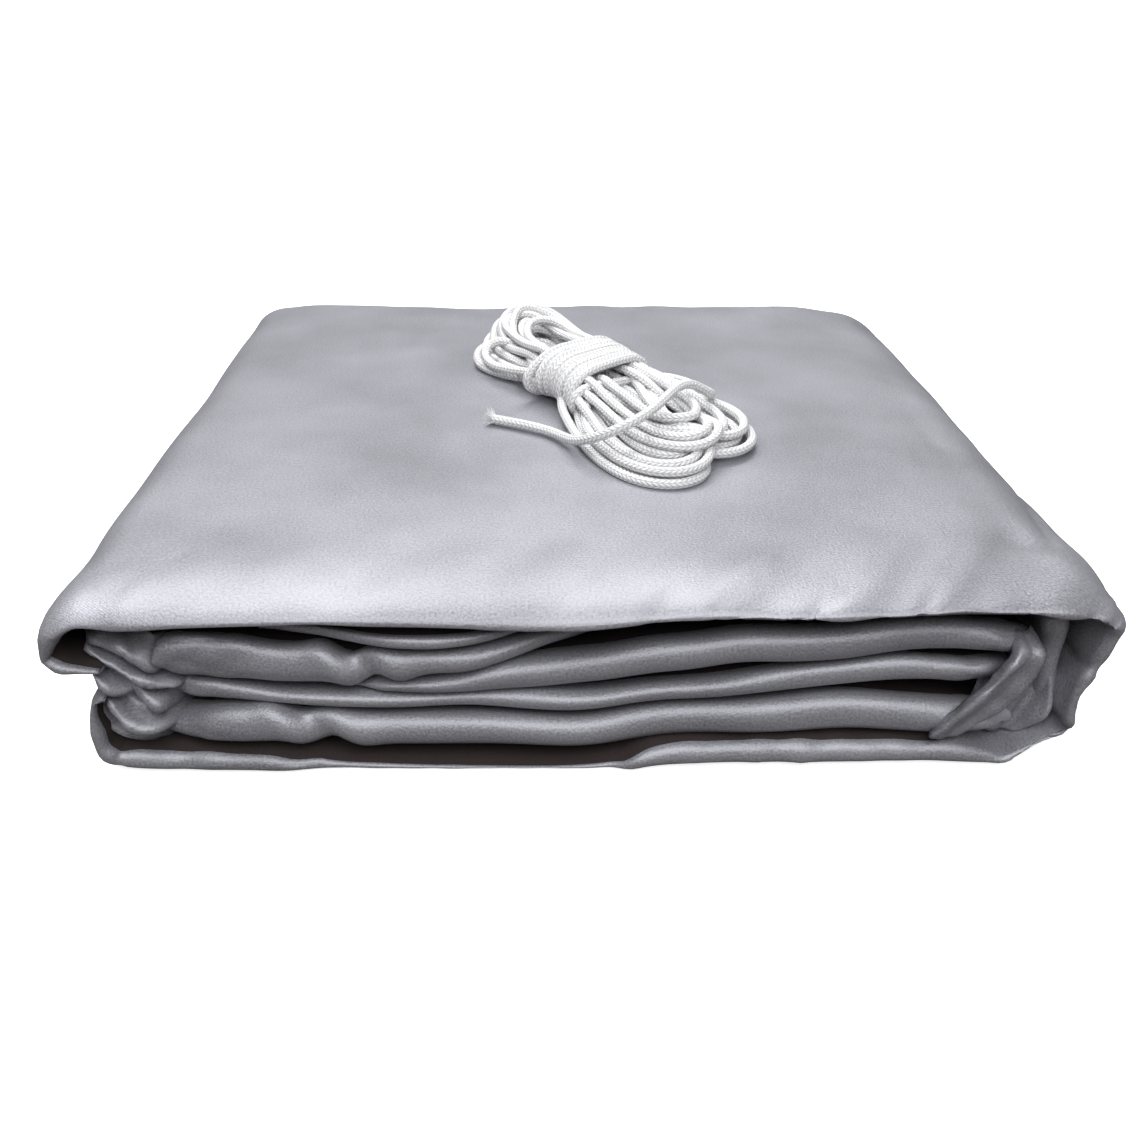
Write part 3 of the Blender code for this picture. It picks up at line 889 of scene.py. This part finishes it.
def fold_ring(front, back, thick, crown, flat_points, droop):
    """Points round a flattened fold for every station: (y, depth under its outer side), closed. droop is how
    much of the thickness the outer side has come down by at its foremost point."""
    thick, crown, front, back = (np.asarray(a, float)[:, None] for a in (thick, crown, front, back))
    under = np.maximum(UNDER_ROLL * crown, 0.5 * thick)
    quarter = np.linspace(0, math.pi / 2, ROLL_POINTS + 1)[None, 1:]
    back_reach = np.maximum(0.6 * thick, 0.004)
    share = spaced(flat_points)
    inner_share = share[:, 1:]
    y = [back - back_reach + (front + crown - back + back_reach) * share,
         front + crown * (1 - np.sin(quarter)), front + under * (1 - np.cos(quarter)),
         front + under + (back - back_reach - front - under) * inner_share,
         back - back_reach + back_reach * np.sin(quarter), back - back_reach * (1 - np.cos(quarter[:, :-1]))]
    depth = [0 * share * thick, droop * thick * (1 - np.cos(quarter)),
             thick * (droop + (1 - droop) * np.sin(quarter)), thick * np.ones_like(inner_share),
             thick / 2 * (1 + np.cos(quarter)), thick / 2 * (1 - np.sin(quarter[:, :-1]))]
    return np.concatenate(y, axis=1), np.concatenate(depth, axis=1)


def fold_grid(x, z, inward, front, back, thick, crown, flat_points=FLAT_POINTS, droop=0.5):
    """The points of a fold: stations along it by points round it."""
    y, depth = fold_ring(front, back, thick, crown, flat_points, droop)
    grid = np.empty((*y.shape, 3))
    grid[..., 0] = np.asarray(x)[:, None] + inward[:, 0:1] * depth
    grid[..., 1] = y
    grid[..., 2] = np.asarray(z)[:, None] + inward[:, 1:2] * depth
    return grid, depth


def pressed(grid, middle, half, front, crown, press):
    """The fold with its flat part pressed thinner behind the puffed roll at its front edge."""
    inside = step_between(grid[..., 1] - front[:, None], crown, 3.2 * crown)
    at = (grid[..., 2] - middle[:, None]) / np.maximum(half, 1e-6)[:, None]
    room = np.minimum(press, 0.62 * half)[:, None]
    grid[..., 2] -= at * room * inside
    return grid


def finish_sheet(obj, body, cad_nodes, settings, offset=-1.0):
    """Gives a sheet its cloth, its thickness and its place in the part."""
    faces = [material_named("silver grey coated polyester", cloth_material, tuple(settings.colour),
                            settings.roughness, SILVER)]
    if len(obj.data.materials) < 2:
        obj.data.materials.append(faces[0])
    else:
        # A sheet with two materials gets, as its second, the near-black cloth that paints the shade in the
        # gaps between the folds
        faces.append(material_named("dark uncoated reverse", cloth_material, tuple(settings.reverse),
                                    PAINTED_SHADE_ROUGHNESS, 0.0))
        for k, face in enumerate(faces):
            obj.data.materials[k] = face
    layer = obj.modifiers.new("cloth thickness", "SOLIDIFY")
    layer.thickness = settings.thickness
    layer.offset = offset
    if isinstance(body, str):
        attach(obj, body)
    else:
        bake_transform(obj)
    if cad_nodes:
        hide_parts(*cad_nodes)


def outer_wrap(settings):
    """The top panel, the closed spine and the underside as one long fold."""
    path = through(WRAP, settings.step, 2)
    x, z, thick, crown = path.T
    along = distances(path[:, :2])
    top = z > HINGE.z
    side = np.stack([x, z * 2], axis=1)
    hollow = step_between(x, -0.128, -0.110) * (1 - step_between(x, 0.008, 0.020)) * (z < 0.004)
    front = FRONT_Y + 0.0012 * waves(side, 0.09, 3) + 0.003 * hollow
    spine_corner = np.clip((x - SPINE_CORNER) / (RIGHT_X - SPINE_CORNER), 0, 1)
    open_corner = np.clip((OPEN_CORNER - x) / (OPEN_CORNER - LEFT_X), 0, 1)
    back = (BACK_Y + 0.003 + 0.0012 * waves(side, 0.16, 4)
            - 0.045 * (1 - np.sqrt(1 - 0.999 * spine_corner ** 2)) - 0.012 * open_corner ** 2)
    droop = np.where(z > 0.075, 0.74, np.where(z < 0.004, 0.45, 0.55))[:, None]
    grid, depth = fold_grid(x, z, inward_of(path), front, back, thick, crown, droop=droop)
    flat = grid.reshape(-1, 3)
    normal, flip = outward_normals(grid)
    along = all_round(along, grid)
    s = along.reshape(-1)
    y = flat[:, 1]
    cloth = np.stack([s, y], axis=1)
    is_top = step_between(flat[:, 2], 0.062, 0.075)
    near_front = step_between(-y, 0.125, 0.185)
    near_back = step_between(y, 0.15, 0.19)
    near_side = step_between(np.abs(flat[:, 0]), 0.165, 0.205)
    lift = 0.0007 * waves(cloth, 0.20, 5) + 0.00025 * waves(cloth, 0.07, 6)
    slanted = np.stack([s - 0.75 * (y + 0.2), y], axis=1)
    right_share = step_between(flat[:, 0], -0.03, 0.12)
    puckers = (0.35 + right_share) * 0.0008 * waves(slanted, 0.036, 7, (1, 3.5))
    valleys = (0.25 + right_share) * 0.0012 * creases(slanted, 0.060, 8, (1, 4.0), 4.0)
    lift += is_top * near_front * (puckers - valleys)
    spine_front = near_side * step_between(-y, -0.02, 0.17) * (0.25 + 0.75 * right_share)
    lift += spine_front * (0.0009 * waves(cloth, 0.030, 9, (1.2, 3))
                           - 0.0030 * creases(cloth, 0.045, 10, (1, 3.5), 4.5))
    lift += near_side * 0.0005 * waves(cloth, 0.05, 11, (1, 2.5))
    lift += near_back * (0.0010 * is_top + 0.0005 * waves(cloth, 0.050, 12, (1, 2.0)))
    lift += (1 - is_top) * 0.0004 * waves(cloth, 0.020, 13)
    lift = np.where(flat[:, 2] < 0.004, 0.25 * lift, lift)
    grid = raised_by(grid, normal, lift)
    grid[..., 2] = np.maximum(grid[..., 2], 0.0)
    around = lengths(grid, 1)
    edge = np.maximum(UNDER_ROLL * crown, 0.5 * thick)
    # Painted shade: the wrap's inner faces, from just behind its rolled front edge to near its back edge, get
    # the near-black second material so the gaps between the wrap and the leaves read dark
    reverse = (depth > 0.93 * thick[:, None]) & (grid[..., 1] > (front + 0.85 * edge)[:, None])
    reverse &= grid[..., 1] < back[:, None] - BACK_MARGIN
    reverse = reverse[len(x) // 4][None, :] & (x < np.where(top, TOP_PAINTED_SHADE_X, UNDER_PAINTED_SHADE_X))[:, None]
    made = grid_mesh("outer_wrap", grid, True, along, around, flip=flip, reverse=reverse)
    finish_sheet(made, None, ("top_panel", "bottom_panel", "upper_spine", "lower_spine", "upper_left_edge",
                              "lower_left_edge"), settings)


def cad_profile(node, samples):
    """The CAD leaf's underside and upper side at each x of the samples."""
    co = np.array([v.co for v in frame["nodes"][node].data.vertices])
    xs = np.unique(np.round(co[:, 0], 4))
    low = np.array([co[np.abs(co[:, 0] - x) < 0.0002, 2].min() for x in xs])
    high = np.array([co[np.abs(co[:, 0] - x) < 0.0002, 2].max() for x in xs])
    curve = through(np.stack([xs, low, high], axis=1), 0.001, 1)
    return np.interp(samples, curve[:, 0], curve[:, 1]), np.interp(samples, curve[:, 0], curve[:, 2])


def leaf(node, body, settings, seed, pinches=(), crown=0.006, left=(0.006, 0.020), right=(0.006, 0.020)):
    """One folded thickness between the panels, from the CAD leaf's own section, closed at both ends. left and
    right are how deep each end is tucked in, and over what length."""
    low_corner, high_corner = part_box(node)
    x = np.arange(low_corner.x, high_corner.x + settings.step / 2, settings.step)
    ends = [(0.0, 0.06), (0.0002, 0.45), (0.0010, 0.78), (0.0026, 0.93)]
    inside = (x > low_corner.x + 0.004) & (x < high_corner.x - 0.004)
    x = np.concatenate([[low_corner.x + a for a, _ in ends], x[inside],
                        [high_corner.x - a for a, _ in ends[::-1]]])
    share = np.concatenate([[b for _, b in ends], np.ones(inside.sum()), [b for _, b in ends[::-1]]])
    low, high = cad_profile(node, x)
    middle, half = (low + high) / 2, (high - low) / 2 * share
    z, thick = middle + half, 2 * half
    nearness = np.minimum(x - low_corner.x, high_corner.x - x)
    tucked = (left[0] * (1 - step_between(x - low_corner.x, 0, left[1]))
              + right[0] * (1 - step_between(high_corner.x - x, 0, right[1])))
    line = np.stack([x, 0 * x], axis=1)
    front = low_corner.y + tucked + 0.0010 * waves(line, 0.08, seed)
    back = high_corner.y - tucked - 0.0015 * (1 + waves(line, 0.09, seed + 1))
    inward = np.tile([0.0, -1.0], (len(x), 1))
    grid, _ = fold_grid(x, z, inward, front, back, thick, np.full(len(x), crown), LEAF_POINTS)
    # Painted shade: the leaf's flat parts behind its rolled front edge get the near-black second material, so
    # the gaps between the leaves read dark
    reverse = (grid[..., 1] > front[:, None] + 1.7 * crown) & (grid[..., 1] < back[:, None] - BACK_MARGIN)
    reverse = np.tile(reverse[len(x) // 2], (len(x), 1))
    grid = pressed(grid, middle, half, front, crown, LEAF_PRESS)
    normal, flip = outward_normals(grid)
    flat = grid.reshape(-1, 3)
    y = flat[:, 1]
    near_front = step_between(-y, 0.13, 0.185)
    near_end = 1 - step_between(all_round(nearness, grid).reshape(-1), 0.0, 0.05)
    fine = np.stack([flat[:, 0], y, flat[:, 2] * 2], axis=1)
    room = np.clip(all_round(thick, grid).reshape(-1) / 0.014, 0.15, 1)
    lift = 0.00035 * waves(fine, 0.07, seed + 2) + 0.00016 * waves(fine, 0.022, seed + 3, (2.5, 1, 1))
    lift += near_end * near_front * room * (0.0010 * waves(fine, 0.018, seed + 4, (1, 2, 1))
                                            - 0.0011 * creases(fine, 0.030, seed + 5, (1, 2, 1), 5.0))
    for place, width, deep in pinches:
        slanted = flat[:, 0] + 0.7 * (flat[:, 2] - middle.mean()) + 0.25 * (y + 0.2)
        lift += near_front * (-deep * bump(slanted, place, width)
                              + 0.55 * deep * bump(slanted, place - 2.1 * width, width)
                              + 0.40 * deep * bump(slanted, place + 2.2 * width, 1.2 * width))
    grid = raised_by(grid, normal, lift)
    made = grid_mesh(f"{node}_cloth", grid, True, all_round(x - x[0], grid), lengths(grid, 1), flip=flip,
                     reverse=reverse)
    finish_sheet(made, body, (node,), settings)


PLEAT_STEP = 0.0020       # spacing of the mesh along a pleat
PLEAT_ACROSS = 6          # faces from one ridge or valley line to the next
RUFFLE = 0.00035          # height of the fine unevenness on the pleats


def pleats(name, body, lines, settings, seed, tuck=None):
    """Crumpled cloth through the given ridge and valley lines, each a list of points. Where tuck is given,
    every line starts deep inside the fold at the left and runs on to that x and y, behind the leaf beside
    it."""
    if tuck:
        starts = [(line[0][0] - 0.0012, line[0][1] + 0.020, line[0][2]) for line in lines]
        lines = [[start, *line, (*tuck, line[-1][2])] for start, line in zip(starts, lines)]
    fine = [through(line, 0.0005, 3) for line in lines]
    total = [length_of(line) for line in fine]
    count = round(max(total) / PLEAT_STEP)
    rows = np.array([respaced(line, size / (count - 1))[:count] for line, size in zip(fine, total)])
    columns = [through(rows[:, k].tolist(), 0.0004, 3) for k in range(count)]
    ring = PLEAT_ACROSS * (len(lines) - 1) + 1
    grid = np.array([respaced(c, length_of(c) / (ring - 1))[:ring] for c in columns])
    flat = grid.reshape(-1, 3)
    lift = RUFFLE * waves(flat, 0.012, seed) - 2.5 * RUFFLE * creases(flat, 0.02, seed + 9)
    grid = raised_by(grid, grid_normals(grid, False), lift)
    made = grid_mesh(name, grid, False, lengths(grid, 0), lengths(grid, 1))
    finish_sheet(made, body, (), settings, offset=0.0)


# The inner fold's outside, from the top down: x, z, thickness of the fold
INNER_FOLD = [
    (0.189, 0.0768, 0.006), (0.1985, 0.0735, 0.01), (0.2015, 0.065, 0.013), (0.202, 0.054, 0.011),
    (0.2008, 0.04, 0.009), (0.2008, 0.026, 0.008), (0.199, 0.017, 0.005), (0.194, 0.0135, 0.003),
]


def spine_inner_fold(settings):
    """The fold just inside the spine, which stands upright behind its front edge."""
    path = through(INNER_FOLD, settings.step * 0.6, 2)
    x, z, thick = path.T
    front = FRONT_Y + 0.0135 + 0.0010 * waves(path[:, :2], 0.03, 61)
    back = np.full(len(x), BACK_Y - 0.014)
    grid, _ = fold_grid(x, z, inward_of(path), front, back, thick, np.full(len(x), 0.012), INNER_POINTS)
    normal, flip = outward_normals(grid)
    flat = grid.reshape(-1, 3)
    lift = 0.0008 * waves(flat, 0.022, 62, (1, 2, 1.6)) - 0.0010 * creases(flat, 0.03, 63, (1, 2, 2), 5.0)
    grid = raised_by(grid, normal, lift)
    along = all_round(lengths(grid, 0)[:, 0], grid)
    made = grid_mesh("spine_inner_fold", grid, True, along, lengths(grid, 1), flip=flip)
    finish_sheet(made, None, (), settings)


# Ridge and valley lines of the end folds, in turn: points of each line from the outside inwards
LEFT_UPPER_PLEATS = [
    [(-0.2075, -0.178, 0.065), (-0.2, -0.18, 0.066), (-0.192, -0.182, 0.066), (-0.184, -0.184, 0.065),
     (-0.178, -0.186, 0.06)],
    [(-0.203, -0.19, 0.06), (-0.1941, -0.196, 0.059), (-0.1868, -0.198, 0.058), (-0.1826, -0.198, 0.053),
     (-0.1771, -0.196, 0.0485)],
    [(-0.204, -0.184, 0.0575), (-0.195, -0.187, 0.055), (-0.188, -0.188, 0.0515),
     (-0.183, -0.188, 0.048), (-0.177, -0.188, 0.045)],
    [(-0.2025, -0.194, 0.058), (-0.1935, -0.199, 0.054), (-0.1857, -0.2, 0.0478),
     (-0.1783, -0.199, 0.0425), (-0.169, -0.196, 0.04)],
    [(-0.2035, -0.188, 0.053), (-0.196, -0.19, 0.048), (-0.19, -0.19, 0.044), (-0.184, -0.19, 0.042),
     (-0.176, -0.19, 0.04)],
    [(-0.201, -0.196, 0.052), (-0.199, -0.2, 0.048), (-0.197, -0.201, 0.044), (-0.195, -0.201, 0.041),
     (-0.1915, -0.199, 0.0385)],
    [(-0.205, -0.186, 0.05), (-0.2045, -0.186, 0.046), (-0.203, -0.187, 0.043), (-0.201, -0.19, 0.0405),
     (-0.198, -0.192, 0.0385)],
]
LEFT_LOWER_PLEATS = [
    [(-0.199, -0.184, 0.042), (-0.194, -0.184, 0.042), (-0.188, -0.184, 0.042), (-0.18, -0.184, 0.0415),
     (-0.172, -0.186, 0.04)],
    [(-0.1975, -0.19, 0.0395), (-0.1905, -0.193, 0.0395), (-0.184, -0.196, 0.0375),
     (-0.1803, -0.199, 0.034), (-0.176, -0.199, 0.0305)],
    [(-0.1985, -0.186, 0.037), (-0.193, -0.189, 0.035), (-0.188, -0.19, 0.031), (-0.183, -0.19, 0.0275),
     (-0.177, -0.19, 0.025)],
    [(-0.199, -0.193, 0.0375), (-0.1962, -0.199, 0.034), (-0.193, -0.202, 0.0285),
     (-0.1879, -0.203, 0.0228), (-0.178, -0.201, 0.0208)],
    [(-0.201, -0.188, 0.035), (-0.1975, -0.189, 0.029), (-0.1935, -0.19, 0.0225),
     (-0.1884, -0.19, 0.018), (-0.178, -0.19, 0.015)],
    [(-0.204, -0.192, 0.033), (-0.202, -0.195, 0.024), (-0.1985, -0.196, 0.0175),
     (-0.193, -0.195, 0.013), (-0.185, -0.192, 0.01)],
]
# The same at the right, from the top down
RIGHT_FLAP = [
    [(0.185, -0.185, 0.06), (0.188, -0.19, 0.054), (0.1865, -0.19, 0.042), (0.178, -0.19, 0.027),
     (0.162, -0.192, 0.014)],
    [(0.182, -0.189, 0.06), (0.1868, -0.1985, 0.0548), (0.1838, -0.199, 0.042),
     (0.1752, -0.1995, 0.0275), (0.158, -0.1995, 0.0136)],
    [(0.18, -0.189, 0.06), (0.181, -0.199, 0.0552), (0.1755, -0.199, 0.043), (0.1655, -0.1995, 0.0285),
     (0.1515, -0.2, 0.0138)],
    [(0.177, -0.189, 0.06), (0.1745, -0.202, 0.0557), (0.1672, -0.2045, 0.0442), (0.1562, -0.205, 0.03),
     (0.1448, -0.2035, 0.0155)],
    [(0.1755, -0.188, 0.059), (0.1738, -0.1975, 0.054), (0.167, -0.199, 0.0425),
     (0.1562, -0.199, 0.0285), (0.1465, -0.1985, 0.015)],
]
RIGHT_CORNER_FACETS = [
    [(0.17, -0.18, 0.042), (0.17, -0.182, 0.033), (0.168, -0.184, 0.024), (0.162, -0.184, 0.0105)],
    [(0.188, -0.186, 0.041), (0.189, -0.189, 0.033), (0.186, -0.191, 0.025), (0.178, -0.189, 0.0075)],
    [(0.1925, -0.184, 0.0405), (0.193, -0.186, 0.031), (0.1905, -0.188, 0.023), (0.183, -0.188, 0.008)],
    [(0.196, -0.191, 0.04), (0.1975, -0.195, 0.03), (0.1955, -0.198, 0.0215), (0.188, -0.193, 0.01)],
    [(0.202, -0.186, 0.038), (0.203, -0.188, 0.029), (0.202, -0.19, 0.02), (0.196, -0.193, 0.014)],
]


# ---------------------------------------------------------------- operators, one for each piece or group


class COVER_OT_stage(Operator):
    """Make the camera, the pale floor and the soft lights"""
    bl_idname = "cover.stage"
    bl_label = "Stage"

    def execute(self, context):
        settings = context.scene.cover_stage
        place_camera()
        lay_floor(tuple(settings.floor_colour))
        light_stage(settings)
        return {"FINISHED"}


class COVER_OT_cord(Operator):
    """Lay out the braided tie cord as a loose hank on the top panel"""
    bl_idname = "cover.cord"
    bl_label = "Tie cord"

    def execute(self, context):
        make_cord(context.scene.cover_cord)
        return {"FINISHED"}


class COVER_OT_wrap(Operator):
    """Make the outer wrap: top panel, spine and underside"""
    bl_idname = "cover.wrap"
    bl_label = "Outer wrap"

    def execute(self, context):
        outer_wrap(context.scene.cover_cloth)
        return {"FINISHED"}


class COVER_OT_leaves(Operator):
    """Make the folded leaves between the top and the bottom panel"""
    bl_idname = "cover.leaves"
    bl_label = "Leaves"

    def execute(self, context):
        cloth = context.scene.cover_cloth
        leaf("upper_fold_left", "top_half", cloth, 20, pinches=[(-0.095, 0.0055, 0.0030)], crown=0.006,
             left=(0.0, 0.010), right=(0.030, 0.100))
        leaf("under_layer", "top_half", cloth, 28, crown=0.002, left=(0.014, 0.060), right=(0.045, 0.120))
        leaf("upper_fold_right", "top_half", cloth, 36, crown=0.007)
        leaf("lower_fold_shallow", "bottom_half", cloth, 44, crown=0.005)
        leaf("lower_fold_deep", "bottom_half", cloth, 52, pinches=[(-0.112, 0.0060, 0.0028)], crown=0.007)
        return {"FINISHED"}


class COVER_OT_ends(Operator):
    """Make the crumpled cloth at the left and right ends of the leaves"""
    bl_idname = "cover.ends"
    bl_label = "End folds"

    def execute(self, context):
        cloth = context.scene.cover_cloth
        spine_inner_fold(cloth)
        pleats("left_upper_pleats", "top_half", LEFT_UPPER_PLEATS, cloth, 71, tuck=(-0.1660, -0.166))
        pleats("left_lower_pleats", "bottom_half", LEFT_LOWER_PLEATS, cloth, 72, tuck=(-0.1690, -0.176))
        pleats("right_flap", "top_half", RIGHT_FLAP, cloth, 73)
        pleats("right_corner_facets", "bottom_half", RIGHT_CORNER_FACETS, cloth, 74)
        return {"FINISHED"}


class COVER_OT_hem(Operator):
    """Finish the elastic and the eyelets that lie between the lower folds"""
    bl_idname = "cover.hem"
    bl_label = "Hem fittings"

    def execute(self, context):
        finishes = {
            "hem_elastic": ("woven elastic", (0.06, 0.06, 0.065), 0.8, 0.0),
            "tie_eyelet_left": ("eyelet brass", (0.78, 0.57, 0.25), 0.28, 1.0),
            "tie_eyelet_right": ("eyelet brass", (0.78, 0.57, 0.25), 0.28, 1.0),
        }
        for node, (name, *facts) in finishes.items():
            mesh = frame["nodes"][node].data
            mesh.materials.clear()
            mesh.materials.append(material_named(name, hidden_material, *facts))
        return {"FINISHED"}


class COVER_PT_panel(Panel):
    """Lists the cover's pieces in the sidebar"""
    bl_label = "Folded cover"
    bl_idname = "COVER_PT_panel"
    bl_space_type = "VIEW_3D"
    bl_region_type = "UI"
    bl_category = "Cover"

    def draw(self, context):
        layout = self.layout
        for settings in (context.scene.cover_cloth, context.scene.cover_cord, context.scene.cover_stage):
            box = layout.box()
            for name in settings.__annotations__:
                box.prop(settings, name)
        for operator in OPERATORS:
            layout.operator(operator.bl_idname)


OPERATORS = (COVER_OT_stage, COVER_OT_cord, COVER_OT_wrap, COVER_OT_leaves, COVER_OT_ends, COVER_OT_hem)
CLASSES = (ClothSettings, CordSettings, StageSettings, *OPERATORS, COVER_PT_panel)


def register():
    for made in CLASSES:
        bpy.utils.register_class(made)
    bpy.types.Scene.cover_cloth = PointerProperty(type=ClothSettings)
    bpy.types.Scene.cover_cord = PointerProperty(type=CordSettings)
    bpy.types.Scene.cover_stage = PointerProperty(type=StageSettings)


def unregister():
    for name in ("cover_cloth", "cover_cord", "cover_stage"):
        delattr(bpy.types.Scene, name)
    for made in reversed(CLASSES):
        bpy.utils.unregister_class(made)


def main():
    register()
    bpy.ops.cover.stage()
    bpy.ops.cover.cord()
    bpy.ops.cover.wrap()
    bpy.ops.cover.leaves()
    bpy.ops.cover.ends()
    bpy.ops.cover.hem()


if __name__ == "__main__":
    main()
